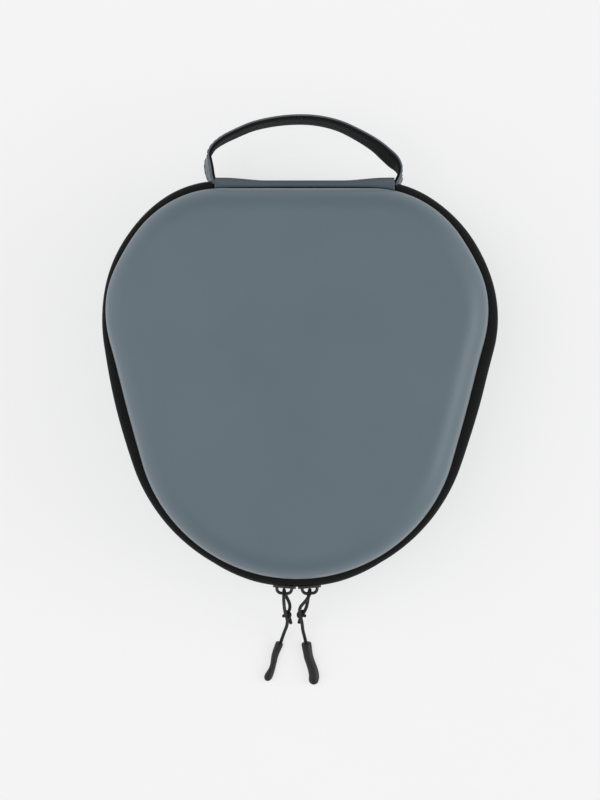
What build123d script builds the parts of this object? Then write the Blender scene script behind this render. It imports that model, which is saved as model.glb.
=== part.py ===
from build123d import *
import math
import os

# A hard-shell carrying case for over-ear headphones, lying on its base.
# X is across the case, +Y points to the spine and handle, +Z is up through the lid.
# The origin is on the base's flat underside, in the middle of the shells' rim. Millimetres.

# Rim outline, from the middle of the spine side to the middle of the front
back_half = 41.6            # half of the straight edge at the spine
corner_radius = 52.0        # beside the spine
corner_turn = 30.0          # degrees
shoulder_radius = 68.5      # where the case is widest
shoulder_turn = 75.0        # degrees
flank_length = 59.0         # straight run down to the front arc

# Shells: cover fabric, foam core and lining, laminated
shell_height = 32.0         # rim to flat top, each shell
draft = 5.0                 # degrees
edge_radius = 14.0          # between side wall and flat top
cover_thickness = 0.8
core_thickness = 3.0
lining_thickness = 0.6
binding_thickness = 0.8     # tape over the raw inner edge of a rim
binding_width = 7.0

# Zipper: two bulging tapes that carry the two halves of a coil
zip_height = 10.0           # between the two rims
zip_bulge = 4.2             # how far the tapes stand out from the rims
tape_thickness = 0.9
tape_flange_thickness = 0.8
tape_outer_round = 3.6
tape_inner_round = 1.8
tape_gap = 1.0              # between the two tapes' edges
tape_wall_over_plate = 0.2  # where a tape's wall meets its flange, past the sliders' inner plates
front_lengths = 12          # short lengths of tape wall along each part of the outline
flank_lengths = 1
shoulder_lengths = 4
corner_lengths = 1
coil_thickness = 1.4
coil_height = 1.8
coil_to_tape = 0.1

# Spine: a fabric hinge, folded once at each rim
spine_half = 49.0
spine_shift = 3.5           # it is sewn this far to the right of the middle
spine_thickness = 0.8
spine_tape_gap = 0.4        # between the spine's panel and the tapes it covers
fold_gap = 0.3
spine_lining_thickness = 0.6
spine_lining_inset = 3.5    # from the spine's ends, clear of the tapes
tape_tuck = 3.0             # how far each tape end reaches under the spine

# Handle: a two-layer strap sewn into the spine's ends
strap_width = 12.0
strap_cover_thickness = 0.9
strap_webbing_thickness = 1.3
strap_root_step = 0.5       # strap's middle behind the fold lines, at the spine's ends
strap_root_radius = 2.2
strap_root_turn = 94.0      # degrees
strap_side_radius = 26.4
strap_side_turn = 58.4      # degrees
strap_axis_step = 7.0       # swing axis behind the fold lines
strap_swing = 75.0          # degrees that its two notched ends leave free
strap_end_gap = 0.2

# Sliders
slider_length = 12.2
slider_height = 8.2
slider_tail_height = 5.6
slider_gap = 1.0            # between the two when closed
plate_thickness = 1.2
outer_plate_clearance = 0.5
inner_plate_clearance = 0.4
inner_plate_length = 10.4
inner_plate_height = 6.2
web_thickness = 0.5
web_length = 6.0
lip_thickness = 0.5
inner_lip_reach = 1.4
outer_lip_reach = 0.5
crown_wire = 1.7
crown_half = 3.95
crown_reach = 2.95          # wire's middle above the outer plate
crown_bend = 2.4

# Pulls: cord looped through the crown, with a moulded grip
cord_diameter = 1.8
grip_diameter = 4.6
grip_rest_gap = 0.1         # under a grip
loop_radius = 1.9           # cord's middle from the crown wire's middle
loop_slope = 54.0           # degrees below the horizontal

# Mesh pocket in the lid
pocket_round_gap = 0.0      # net's height below the start of the lid's rounded edge
net_thickness = 0.6
net_wall_gap = 0.3
pocket_mouth_y = 12.0       # the pocket's open edge lies at this Y
hem_width = 8.0
hem_thickness = 1.4

# Worked out from the sizes above
zip_middle = shell_height + zip_height / 2
lid_rim = shell_height + zip_height
wall = cover_thickness + core_thickness + lining_thickness
spine_fold_out = zip_bulge + spine_tape_gap + spine_thickness / 2
strap_root_out = spine_fold_out + strap_root_step
strap_axis_out = spine_fold_out + strap_axis_step
pocket_depth = shell_height - edge_radius - pocket_round_gap
FAR = 400.0


def normal(heading):
    """Outward direction of the rim where its clockwise heading from +X is given."""
    angle = math.radians(heading)
    return Vector(math.sin(angle), math.cos(angle))


def rim_arcs():
    """The right half's arcs as (centre, radius, from heading, to heading)."""
    side_heading = corner_turn + shoulder_turn
    corner_centre = Vector(back_half, -corner_radius)
    joint = corner_centre + normal(corner_turn) * corner_radius
    shoulder_centre = joint - normal(corner_turn) * shoulder_radius
    flank_start = shoulder_centre + normal(side_heading) * shoulder_radius
    along = normal(side_heading + 90)
    flank_end = flank_start + along * flank_length
    front_radius = flank_end.X / normal(side_heading).X
    front_centre = flank_end - normal(side_heading) * front_radius
    half_length = (front_radius - front_centre.Y) / 2
    lift = Vector(0, half_length)
    return half_length, [
        (corner_centre + lift, corner_radius, 0, corner_turn),
        (shoulder_centre + lift, shoulder_radius, corner_turn, side_heading),
        (front_centre + lift, front_radius, side_heading, 360 - side_heading),
    ]


back_edge, arcs = rim_arcs()
front_centre, front_radius = arcs[2][:2]


def outline(grow):
    """The rim's outline, moved outward by grow, as a closed wire."""
    def point(arc, heading, side=1):
        spot = arc[0] + normal(heading) * (arc[1] + grow)
        return Vector(side * spot.X, spot.Y)

    def bow(arc, side=1):
        start, end = arc[2:]
        return ThreePointArc(*[point(arc, h, side) for h in (start, (start + end) / 2, end)])

    corner, shoulder, front = arcs
    edges = [Line(point(corner, 0), point(corner, 0, -1)), bow(front)]
    for side in (1, -1):
        flank = Line(point(shoulder, shoulder[3], side), point(front, front[2], side))
        edges += [bow(corner, side), bow(shoulder, side), flank]
    return Wire(edges)


def rim_face(grow):
    """The area inside the rim's outline, facing up."""
    return Face(outline(grow))


def prism(grow, low, high):
    """A straight block with the rim's outline moved outward by grow."""
    return Pos(0, 0, low) * extrude(rim_face(grow), high - low)


def block(x, y, z):
    """A box from its low and high corners on each axis."""
    size = [high - low for low, high in (x, y, z)]
    return Pos(x[0], y[0], z[0]) * Box(*size, align=(Align.MIN, Align.MIN, Align.MIN))


def dome(inset):
    """A shell's filled form, rim at z 0 and top up, with every face moved in by inset."""
    rim = rim_face(-inset / math.cos(math.radians(draft)))
    body = extrude(rim, shell_height - inset, taper=draft)
    top = body.faces().sort_by(Axis.Z)[-1]
    return fillet(top.edges(), edge_radius - inset)


def as_lid(shape):
    return Pos(0, 0, lid_rim) * shape


def as_base(shape):
    return Pos(0, 0, shell_height) * mirror(shape, about=Plane.XY)


def layer(outside, inside):
    """The part of a shell between two insets."""
    return dome(outside) - dome(inside)


def binding():
    """The tape over the raw inner edge of a shell's rim."""
    slab = block((-FAR, FAR), (-FAR, FAR), (0, binding_width))
    return layer(wall, wall + binding_thickness) & slab


def zip_ring():
    """The upper tape in one: under the lid's rim, round a bulge and down to the coil."""
    low = zip_middle + tape_gap / 2
    outer = prism(zip_bulge, low, lid_rim)
    outer = fillet(outer.faces().sort_by(Axis.Z)[-1].edges(), tape_outer_round)
    hollow = prism(zip_bulge - tape_thickness, low, lid_rim - tape_flange_thickness)
    hollow = fillet(hollow.faces().sort_by(Axis.Z)[-1].edges(), tape_inner_round)
    return outer - hollow - prism(-wall, low, lid_rim) - spine_window()


def tape_wall_top():
    """Where the tape's wall meets its flange, just above the sliders' inner plates."""
    return zip_middle + inner_plate_height / 2 + tape_wall_over_plate


def zip_flange():
    """The upper tape's turned-in edge, sewn under the lid's rim."""
    return zip_ring() & prism(zip_bulge, tape_wall_top(), lid_rim)


def zip_tape():
    """The upper tape's wall, in short lengths that each lie nearly straight."""
    tape_wall = zip_ring() & prism(zip_bulge, zip_middle, tape_wall_top())
    return [length for wedge in outline_wedges() for length in (tape_wall & wedge).solids()]


def outline_wedges():
    """Upright blocks that divide the outline crosswise, one for each short length of tape."""
    reach = zip_bulge + front_radius / 4
    corner, shoulder, front = arcs

    def upright(*corners):
        face = Face(Wire.make_polygon([Vector(p.X, p.Y, zip_middle) for p in corners], close=True))
        return extrude(face, lid_rim - zip_middle, dir=(0, 0, 1))

    def fan(arc, count, side=1):
        centre, radius, start, end = arc
        turns = [start + (end - start) * k / count for k in range(count + 1)]
        spots = [centre + normal(h) * (radius + reach) for h in turns]
        for near, far in zip(spots, spots[1:]):
            yield upright(*[Vector(side * p.X, p.Y) for p in (centre, near, far)])

    yield from fan(front, front_lengths)
    for side in (1, -1):
        yield from fan(corner, corner_lengths, side)
        yield from fan(shoulder, shoulder_lengths, side)
        out = normal(shoulder[3])
        top = shoulder[0] + out * shoulder[1]
        run = (front[0] + out * front[1] - top) / flank_lengths
        for k in range(flank_lengths):
            start, end = top + run * k, top + run * (k + 1)
            corners = (start - out * reach, start + out * reach, end + out * reach, end - out * reach)
            yield upright(*[Vector(side * p.X, p.Y) for p in corners])


def zip_coil():
    """Upper half of the coil, on the inside of its tape."""
    outside = zip_bulge - tape_thickness - coil_to_tape
    low = zip_middle + tape_gap / 2
    ring = prism(outside, low, low + coil_height)
    return ring - prism(outside - coil_thickness, low, low + coil_height) - spine_window()


def spine_window():
    """The stretch behind the spine where there is no zipper."""
    reach = spine_half - tape_tuck
    across = (spine_shift - reach, spine_shift + reach)
    return block(across, (0, FAR), (0, lid_rim + shell_height))


def below(shape):
    """The same piece on the base's side of the zipper."""
    return mirror(shape, about=Plane.XY.offset(zip_middle))


def spine_tab():
    """Upper fold of the spine's fabric, from the lid's rim out to the fold line."""
    across = (spine_shift - spine_half, spine_shift + spine_half)
    out = (back_edge - corner_radius / 4, back_edge + spine_fold_out - zip_fold_clearance())
    strip = block(across, out, (lid_rim, lid_rim + spine_thickness))
    return strip - prism(0, lid_rim, lid_rim + spine_thickness)


def zip_fold_clearance():
    """Room between a tab's edge and the panel that folds beside it."""
    return spine_thickness / 2 + fold_gap


def spine_panel():
    """The spine's outer fabric between its two folds."""
    across = (spine_shift - spine_half, spine_shift + spine_half)
    middle = back_edge + spine_fold_out
    out = (middle - spine_thickness / 2, middle + spine_thickness / 2)
    return block(across, out, (shell_height + fold_gap, lid_rim - fold_gap))


def spine_lining():
    """Lining fabric on the inside of the spine's panel."""
    reach = spine_half - spine_lining_inset
    face = back_edge + spine_fold_out - spine_thickness / 2
    across = (spine_shift - reach, spine_shift + reach)
    edge = spine_thickness
    return block(
        across,
        (face - spine_lining_thickness, face),
        (shell_height + edge, lid_rim - edge),
    )


def strap_path():
    """The strap's middle line, from the spine's left end round to its right end."""
    half_top = 180 - strap_root_turn - strap_side_turn
    start = Vector(spine_half + strap_end_gap, back_edge + strap_root_out)
    root_centre = start + Vector(0, strap_root_radius)
    side_heading = 180 - strap_root_turn
    root_end = root_centre + normal(side_heading) * strap_root_radius
    side_centre = root_end - normal(side_heading) * strap_side_radius
    side_end = side_centre + normal(half_top) * strap_side_radius
    top_radius = side_end.X / normal(half_top).X
    top_centre = side_end - normal(half_top) * top_radius

    def bow(centre, radius, start, end, side=1):
        spots = [centre + normal(h) * radius for h in (start, (start + end) / 2, end)]
        return ThreePointArc(*[(side * p.X, p.Y) for p in spots])

    edges = [bow(top_centre, top_radius, -half_top, half_top)]
    for side in (1, -1):
        edges += [
            bow(root_centre, strap_root_radius, side_heading, 180, side),
            bow(side_centre, strap_side_radius, half_top, side_heading, side),
        ]
    return Wire(edges)


def strap_layer(inside, outside):
    """One layer of the strap, between two distances outward from its middle line."""
    path = strap_path()
    start = path @ 0
    along = path % 0
    across = along.cross(Vector(0, 0, 1)).normalized()
    middle = path.center()
    if (start + across - middle).length < (start - across - middle).length:
        across = -across
    plane = Plane(origin=start, x_dir=across, z_dir=along)
    section = plane * Pos((inside + outside) / 2, 0) * Rectangle(outside - inside, strap_width)
    return Pos(spine_shift, 0, zip_middle) * sweep(section, path=path)


def strap_wedge(side):
    """Room for one side of the notch between the swinging strap and its sewn ends."""
    axis_y = back_edge + strap_axis_out
    half_angle = math.radians((180 - strap_swing) / 2)
    tip = axis_y + side * fold_gap
    far = tip + side * strap_width * 4
    rise = strap_width * 4 * math.tan(half_angle)
    corners = [(tip, zip_middle), (far, zip_middle + rise), (far, zip_middle - rise)]
    face = Face(Wire.make_polygon([Vector(-FAR / 2, y, z) for y, z in corners], close=True))
    return extrude(face, FAR, dir=(1, 0, 0))


def on_front_arc(shape, angle):
    """Carry a shape built at the front's middle round the front arc, + to the right."""
    centre = Pos(front_centre.X, front_centre.Y)
    return centre * Rot(0, 0, angle) * centre.inverse() * shape


def front_y(out):
    """Y at the front's middle, at this distance outside the rim."""
    return front_centre.Y - front_radius - out


slider_angle = math.degrees(
    (slider_length + slider_gap) / 2 / (front_radius + zip_bulge + outer_plate_clearance)
)


def slider():
    """A slider at the front's middle, its nose towards -X and its back on the base's tape."""
    coil_out = zip_bulge - tape_thickness - coil_to_tape
    plate_out = zip_bulge + outer_plate_clearance
    inner_top = coil_out - coil_thickness - inner_plate_clearance
    half = slider_length / 2
    tall, tail = slider_height / 2, slider_tail_height / 2

    def upright(face, near, far):
        """A solid from a sketch in X and Z, between two distances outside the rim."""
        plane = Plane(origin=(0, front_y(near), zip_middle), x_dir=(1, 0, 0), z_dir=(0, -1, 0))
        return extrude(plane * face, far - near)

    shield = Polygon(
        (-half, tall), (-half, -tall), (0, -tall), (half, -tail), (half, tail), (0, tall),
        align=None,
    )
    shield = fillet(shield.vertices(), web_length / 4)
    inside = RectangleRounded(inner_plate_length, inner_plate_height, plate_thickness)
    body = upright(shield, plate_out, plate_out + plate_thickness)
    body += upright(inside, inner_top - plate_thickness, inner_top)
    body += upright(Rectangle(web_length, web_thickness), inner_top - plate_thickness / 2,
                    plate_out + plate_thickness / 2)
    inner_lip = Pos(0, (lip_thickness - inner_plate_height) / 2) * Rectangle(web_length, lip_thickness)
    body += upright(inner_lip, inner_top - plate_thickness / 2, inner_top + inner_lip_reach)
    outer_lip = Pos(-half / 2, lip_thickness / 2 - tall) * Rectangle(half / 2, lip_thickness)
    body += upright(outer_lip, plate_out - outer_lip_reach, plate_out + plate_thickness / 2)
    foot = plate_out + plate_thickness / 2
    crown_out = plate_out + plate_thickness + crown_reach
    arch = FilletPolyline(
        (-crown_half, front_y(foot), zip_middle),
        (-crown_half, front_y(crown_out), zip_middle),
        (crown_half, front_y(crown_out), zip_middle),
        (crown_half, front_y(foot), zip_middle),
        radius=crown_bend,
    )
    section = Plane(origin=arch @ 0, z_dir=arch % 0) * Circle(crown_wire / 2)
    return body + sweep(section, path=arch)


crown_out = zip_bulge + outer_plate_clearance + plate_thickness + crown_reach


def crown_spot(side):
    """The middle of a slider's crown wire, with side -1 at the left and 1 at the right."""
    angle = math.radians(side * slider_angle)
    reach = front_radius + crown_out
    return Vector(
        front_centre.X + reach * math.sin(angle),
        front_centre.Y - reach * math.cos(angle),
        zip_middle,
    )


def loop_corner(along, aside, across=0.0):
    """A point by the crown wire: along the hanging cord, and aside of it, upward."""
    slope = math.radians(loop_slope)
    out = along * math.cos(slope) + aside * math.sin(slope)
    up = -along * math.sin(slope) + aside * math.cos(slope)
    return (across, out, up)


# Cord routes from the grip, over the crown wire, back under it and to the cut end.
# Each point is (to the right of, in front of, above) the crown wire's middle.
cord_routes = {
    "left": [
        (-2.4, 30.1, -34.1),
        (-1.9, 26.6, -32.7),
        (-0.7, 22.2, -28.6),
        (0.6, 16.6, -21.6),
        (1.8, 10.8, -13.4),
        loop_corner(4.6, loop_radius, 0.7),
        loop_corner(-loop_radius, loop_radius),
        loop_corner(-loop_radius, -loop_radius),
        loop_corner(2.9, -loop_radius, 0.9),
        (3.5, 5.0, -10.2),
        (3.9, 9.4, -15.6),
        (3.9, 14.0, -20.6),
    ],
    "right": [
        (-1.7, 30.1, -34.1),
        (-2.3, 26.6, -32.7),
        (-3.1, 22.2, -28.6),
        (-3.5, 16.6, -21.2),
        (-2.5, 10.8, -13.2),
        loop_corner(4.6, loop_radius, -0.8),
        loop_corner(-loop_radius, loop_radius),
        loop_corner(-loop_radius, -loop_radius),
        loop_corner(2.9, -loop_radius, -0.9),
        (-3.9, 5.0, -10.4),
        (-4.7, 9.4, -15.8),
        (-5.8, 13.6, -20.9),
    ],
}

# Where each grip bends and ends, to the right of and in front of the crown wire's middle
grip_bends = {
    "left": [(-5.6, 38.6), (-9.0, 48.6)],
    "right": [(0.6, 39.6), (1.9, 50.2)],
}


def placed(route, side):
    """A route's points in the part's frame."""
    spot = crown_spot(side)
    return [Vector(spot.X + x, spot.Y - out, spot.Z + up) for x, out, up in route]


def corner_radii(points):
    """Each corner's arc radius: 0.45 of the shorter run over the tangent of half the turn."""
    radii = []
    for before, at, after in zip(points, points[1:], points[2:]):
        turn = math.radians((at - before).get_angle(after - at))
        run = min((at - before).length, (after - at).length)
        radii.append(0.45 * run / math.tan(turn / 2))
    return radii


def tube(points, diameter):
    """A round tube along straight runs joined by tangent arcs."""
    path = FilletPolyline(*points, radius=corner_radii(points))
    section = Plane(origin=path @ 0, z_dir=path % 0) * Circle(diameter / 2)
    return sweep(section, path=path), path


def cord(name, side):
    points = placed(cord_routes[name], side)
    solid, path = tube(points, cord_diameter)
    section = math.pi * cord_diameter**2 / 4
    radii = [round(r, 2) for r in corner_radii(points)]
    print(f"cord {name}: length {path.length:.2f}, section x length {section * path.length:.2f},",
          f"volume {solid.volume:.2f}, radii {radii}")
    return solid


def grip_route(name):
    """The grip's middle line: on along the cord's last run, then flat on the surface below."""
    end, before = (Vector(*point) for point in cord_routes[name][:2])
    level = grip_diameter / 2 + grip_rest_gap - zip_middle
    run = end - before
    lying = end + run * ((level - end.Z) / run.Z)
    bends = [(x, out, level) for x, out in grip_bends[name]]
    return [tuple(end), tuple(lying)] + bends


def grip(name, side):
    points = placed(grip_route(name), side)
    solid, path = tube(points, grip_diameter)
    return solid + Pos(path @ 1) * Sphere(grip_diameter / 2)


def pocket_net():
    """Net across the front of the lid's hollow, sewn to the lining all round."""
    inset = wall / math.cos(math.radians(draft)) + pocket_depth * math.tan(math.radians(draft))
    level = lid_rim + pocket_depth
    net = prism(-inset - net_wall_gap, level, level + net_thickness)
    return net - block((-FAR, FAR), (pocket_mouth_y, FAR), (0, FAR))


def pocket_hem():
    """Elastic along the pocket's mouth."""
    inset = wall / math.cos(math.radians(draft)) + pocket_depth * math.tan(math.radians(draft))
    level = lid_rim + pocket_depth
    low = level + net_thickness / 2 - hem_thickness / 2
    strip = prism(-inset - net_wall_gap, low, low + hem_thickness)
    return strip & block(
        (-FAR, FAR), (pocket_mouth_y, pocket_mouth_y + hem_width), (0, FAR)
    )


nodes = {}

core_inset = cover_thickness
lining_inset = cover_thickness + core_thickness
shell_layers = {
    "cover": layer(0, core_inset),
    "core": layer(core_inset, lining_inset),
    "lining": layer(lining_inset, wall),
    "binding": binding(),
}
for name, shape in shell_layers.items():
    nodes["base_" + name] = as_base(shape)
    nodes["lid_" + name] = as_lid(shape)

tape_lengths = zip_tape()
nodes["zip_tape_upper"] = Compound(tape_lengths)
nodes["zip_flange_upper"] = zip_flange()
nodes["zip_coil_upper"] = zip_coil()
nodes["spine_tab_upper"] = spine_tab()
nodes["zip_tape_lower"] = Compound([below(length) for length in tape_lengths])
nodes["zip_flange_lower"] = below(nodes["zip_flange_upper"])
nodes["zip_coil_lower"] = below(nodes["zip_coil_upper"])
nodes["spine_tab_lower"] = below(nodes["spine_tab_upper"])
nodes["spine_panel"] = spine_panel()
nodes["spine_lining"] = spine_lining()

strap_half = (strap_cover_thickness + strap_webbing_thickness) / 2
seam = strap_half - strap_cover_thickness
strap_webbing = strap_layer(-strap_half, seam)
strap_cover = strap_layer(seam, strap_half)
nodes["handle_webbing"] = strap_webbing & strap_wedge(1)
nodes["handle_cover"] = strap_cover & strap_wedge(1)
sewn_ends = (strap_webbing + strap_cover) & strap_wedge(-1)
left_end, right_end = sewn_ends.solids().sort_by(Axis.X)
nodes["handle_end_left"] = left_end
nodes["handle_end_right"] = right_end

nodes["slider_right"] = on_front_arc(slider(), slider_angle)
nodes["slider_left"] = mirror(nodes["slider_right"], about=Plane.YZ)
for name, side in (("left", -1), ("right", 1)):
    nodes["pull_cord_" + name] = cord(name, side)
    nodes["pull_grip_" + name] = grip(name, side)

nodes["pocket_net"] = pocket_net()
nodes["pocket_hem"] = pocket_hem()

os.makedirs("parts", exist_ok=True)
for name, shape in nodes.items():
    export_step(shape, f"parts/{name}.step")

widest = max(arc[0].X + arc[1] for arc in arcs[:2])
print(f"rim {2 * widest:.1f} x {2 * back_edge:.1f}, front arc radius {front_radius:.2f}")
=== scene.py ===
import math

import bmesh
import bpy
import numpy as np
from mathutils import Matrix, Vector


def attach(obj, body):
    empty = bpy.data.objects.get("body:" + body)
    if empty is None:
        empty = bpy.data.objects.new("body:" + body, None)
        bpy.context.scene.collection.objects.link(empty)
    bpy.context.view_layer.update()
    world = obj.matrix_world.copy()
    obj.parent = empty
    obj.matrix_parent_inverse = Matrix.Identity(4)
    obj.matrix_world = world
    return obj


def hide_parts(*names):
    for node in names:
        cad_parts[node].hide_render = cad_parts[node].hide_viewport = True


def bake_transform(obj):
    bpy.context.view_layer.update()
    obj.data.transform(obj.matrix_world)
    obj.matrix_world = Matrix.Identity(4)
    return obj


# The looks of a hard-shell headphone case. Sizes below are in millimetres unless a name
# says otherwise; MM turns them into Blender's metres.
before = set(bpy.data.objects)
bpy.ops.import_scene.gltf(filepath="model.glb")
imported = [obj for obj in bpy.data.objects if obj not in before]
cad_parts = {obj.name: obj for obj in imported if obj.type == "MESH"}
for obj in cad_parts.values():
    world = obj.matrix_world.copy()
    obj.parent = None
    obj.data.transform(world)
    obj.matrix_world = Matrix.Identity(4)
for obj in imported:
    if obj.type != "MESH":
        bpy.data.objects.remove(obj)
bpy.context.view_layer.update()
MM = 0.001

# Heights
BASE_RIM = 32.0
LID_RIM = 42.0
ZIP_MIDDLE = 37.0
SHELL_HEIGHT = 32.0

# Shell section
DRAFT_DEGREES = 5
DRAFT_ANGLE = math.radians(DRAFT_DEGREES)
DRAFT = math.tan(DRAFT_ANGLE)
EDGE_RADIUS = 14.0
LID_CROWN = 1.9
COVER, CORE, LINING = 0.8, 3.0, 0.6
WALL = COVER + CORE + LINING

# Left and right ends of the spine, and of the flaps sewn to it
SPINE_X = (-45.4, 52.4)
FLAP_X = (-43.5, 51.5)


# ---------------------------------------------------------------- camera and light

CAMERA_HEIGHT = 1.45  # metres
LAMP_TARGET = Vector((0, 0, 0.03))  # metres
# The tent's brightness: everywhere, more towards its sides, less above its back and front
TENT_LEVEL, TENT_SIDES, TENT_DIMMING = 0.74, 0.52, -0.70


def look_down():
    """The camera, straight above the case."""
    data = bpy.data.cameras.new("camera")
    data.lens = 120
    data.sensor_width = 36
    data.clip_start, data.clip_end = 0.05, 20
    camera = bpy.data.objects.new("camera", data)
    camera.location = (1.6 * MM, -9.0 * MM, CAMERA_HEIGHT)
    bpy.context.scene.collection.objects.link(camera)
    bpy.context.scene.camera = camera


def area_light(name, place, size, power):
    """A round lamp aimed at the case."""
    data = bpy.data.lights.new(name, "AREA")
    data.shape = "DISK"
    data.size = size
    data.energy = power
    light = bpy.data.objects.new(name, data)
    light.location = place
    aim = LAMP_TARGET - light.location
    light.rotation_euler = aim.to_track_quat("-Z", "Y").to_euler()
    bpy.context.scene.collection.objects.link(light)
    return light


def studio():
    """A light tent that is brighter towards its two sides, and two lamps."""
    bpy.context.scene.view_settings.view_transform = "Standard"
    bpy.context.scene.view_settings.look = "None"
    world = bpy.data.worlds.new("studio")
    world.use_nodes = True
    nodes, links = world.node_tree.nodes, world.node_tree.links
    sky = nodes["Background"]
    sky.inputs["Color"].default_value = (1, 1, 1, 1)

    def step(operation, *values):
        made = nodes.new("ShaderNodeMath")
        made.operation = operation
        for socket, value in zip(made.inputs, values):
            if isinstance(value, bpy.types.NodeSocket):
                links.new(value, socket)
            else:
                socket.default_value = value
        return made.outputs[0]

    split = nodes.new("ShaderNodeSeparateXYZ")
    links.new(nodes.new("ShaderNodeTexCoord").outputs["Generated"], split.inputs["Vector"])
    above = step("MAXIMUM", split.outputs["Z"], 0.0)
    raised = step("MINIMUM", step("MULTIPLY", above, 5.0), 1.0)
    dim = step("MULTIPLY", step("ABSOLUTE", split.outputs["Y"]), raised)
    aside = step("ABSOLUTE", split.outputs["X"])
    level = step("MULTIPLY_ADD", aside, TENT_SIDES, TENT_LEVEL)
    links.new(step("MULTIPLY_ADD", dim, TENT_DIMMING, level), sky.inputs["Strength"])
    bpy.context.scene.world = world
    key = area_light("key", (-0.50, 0.10, 1.35), size=0.8, power=3.7)
    key.visible_glossy = False  # a tent shows no lamp in satin cloth
    area_light("right_side", (1.30, -0.15, 0.75), size=0.9, power=4.0)


# ---------------------------------------------------------------- materials

def shade(colour, share):
    """A darker or a lighter colour."""
    return tuple(c * share for c in colour)


class Material:
    """A Principled material whose nodes are added by kind."""

    def __init__(self, name, **values):
        self.data = bpy.data.materials.new(name)
        self.data.use_nodes = True
        self.tree = self.data.node_tree
        self.shader = self.tree.nodes["Principled BSDF"]
        for key, value in values.items():
            self.shader.inputs[key.replace("_", " ")].default_value = value

    def node(self, kind, values=None, **settings):
        made = self.tree.nodes.new("ShaderNode" + kind)
        for key, value in settings.items():
            setattr(made, key, value)
        for key, value in (values or {}).items():
            self.put(value, made.inputs[key])
        return made

    def put(self, value, socket):
        if isinstance(value, bpy.types.NodeSocket):
            self.tree.links.new(value, socket)
        else:
            socket.default_value = value

    def place(self, uv=False, turn=0.0):
        """Object or UV coordinates in metres, turned."""
        source = self.node("TexCoord").outputs["UV" if uv else "Object"]
        return self.node("Mapping", {"Vector": source, "Rotation": (0, 0, turn)}).outputs["Vector"]

    def noise(self, size, detail=2.0):
        values = {"Vector": self.place(), "Scale": 1 / (size * MM), "Detail": detail}
        return self.node("TexNoise", values).outputs["Fac"]

    def cells(self, size, spread=1.0):
        values = {"Vector": self.place(), "Scale": 1 / (size * MM), "Randomness": spread}
        return self.node("TexVoronoi", values).outputs["Distance"]

    def ribs(self, pitch, place, direction):
        """Waves across a direction. A wave texture of scale 1 repeats every pi / 10."""
        values = {"Vector": place, "Scale": math.pi / 10 / (pitch * MM)}
        return self.node("TexWave", values, bands_direction=direction).outputs["Fac"]

    def math(self, operation, a, b):
        return self.node("Math", {0: a, 1: b}, operation=operation).outputs[0]

    def mix(self, a, a_share, b, b_share):
        """Two values added up by their shares."""
        first, second = self.math("MULTIPLY", a, a_share), self.math("MULTIPLY", b, b_share)
        return self.math("ADD", first, second)

    def colours(self, value, *stops):
        """Base colour from stops along a 0 to 1 value."""
        ramp = self.node("ValToRGB", {"Fac": value})
        steps = ramp.color_ramp.elements
        while len(steps) < len(stops):
            steps.new(0.5)
        for step, (at, colour) in zip(steps, stops):
            step.position, step.color = at, (*colour, 1)
        self.put(ramp.outputs["Color"], self.shader.inputs["Base Color"])

    def bump(self, *layers):
        """Each layer is (height, how far it stands in mm, strength)."""
        normal = None
        for height, depth, strength in layers:
            values = {"Height": height, "Distance": depth * MM, "Strength": strength}
            if normal is not None:
                values["Normal"] = normal
            normal = self.node("Bump", values).outputs["Normal"]
        self.put(normal, self.shader.inputs["Normal"])

    def rough(self, value, low, high):
        """Roughness, from low where the value is 0 to high where it is 1."""
        made = self.node("MapRange", {"Value": value, "To Min": low, "To Max": high})
        self.put(made.outputs["Result"], self.shader.inputs["Roughness"])


def coated_cloth(name, colour):
    """Smooth polyurethane cloth: satin, with a fine pebbled grain."""
    made = Material(name, Specular_IOR_Level=0.6, Sheen_Weight=0.05, Sheen_Roughness=0.4)
    broad, grain = made.noise(28, detail=4), made.cells(0.42)
    made.colours(broad, (0.3, shade(colour, 0.978)), (0.7, shade(colour, 1.022)))
    made.rough(made.noise(1.4), 0.38, 0.5)
    fine, waves = made.noise(0.16, detail=3), made.noise(9)
    made.bump((grain, 0.035, 0.5), (fine, 0.02, 0.45), (waves, 0.05, 0.3))
    return made.data


def woven(name, colour, pitch, depth, sheen=0.25, ribbed=0.0):
    """Plain woven cloth: bumps in a grid along the piece, or ribs across it."""
    made = Material(name, Specular_IOR_Level=0.22, Sheen_Weight=sheen, Sheen_Roughness=0.5)
    fuzz = made.noise(0.12, detail=3)
    if ribbed:
        straight = made.place(uv=True)
        across, thread = made.ribs(ribbed, straight, "X"), made.ribs(pitch, straight, "Y")
        weave = made.mix(across, 0.75, thread, 0.25)
    else:
        slant = made.place(uv=True, turn=math.radians(45))
        over, under = made.ribs(pitch, slant, "X"), made.ribs(pitch, slant, "Y")
        weave = made.math("MULTIPLY", over, under)
    mixed = made.mix(weave, 0.8, fuzz, 0.2)
    made.colours(mixed, (0.1, shade(colour, 0.45)), (0.85, shade(colour, 1.5)))
    made.rough(fuzz, 0.78, 0.95)
    made.bump((weave, depth, 0.9), (fuzz, 0.03, 0.5))
    return made.data


def napped(name, colour):
    """Brushed knit lining: short soft nap with faint knit columns."""
    made = Material(name, Specular_IOR_Level=0.1, Sheen_Weight=0.6, Sheen_Roughness=0.35)
    nap, patch = made.noise(0.5, detail=5), made.noise(14, detail=3)
    mixed = made.mix(nap, 0.65, patch, 0.35)
    made.colours(mixed, (0.3, shade(colour, 0.6)), (0.7, shade(colour, 1.5)))
    made.rough(nap, 0.9, 1.0)
    made.bump((nap, 0.12, 0.7), (made.cells(0.7, spread=0.3), 0.05, 0.35))
    return made.data


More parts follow.
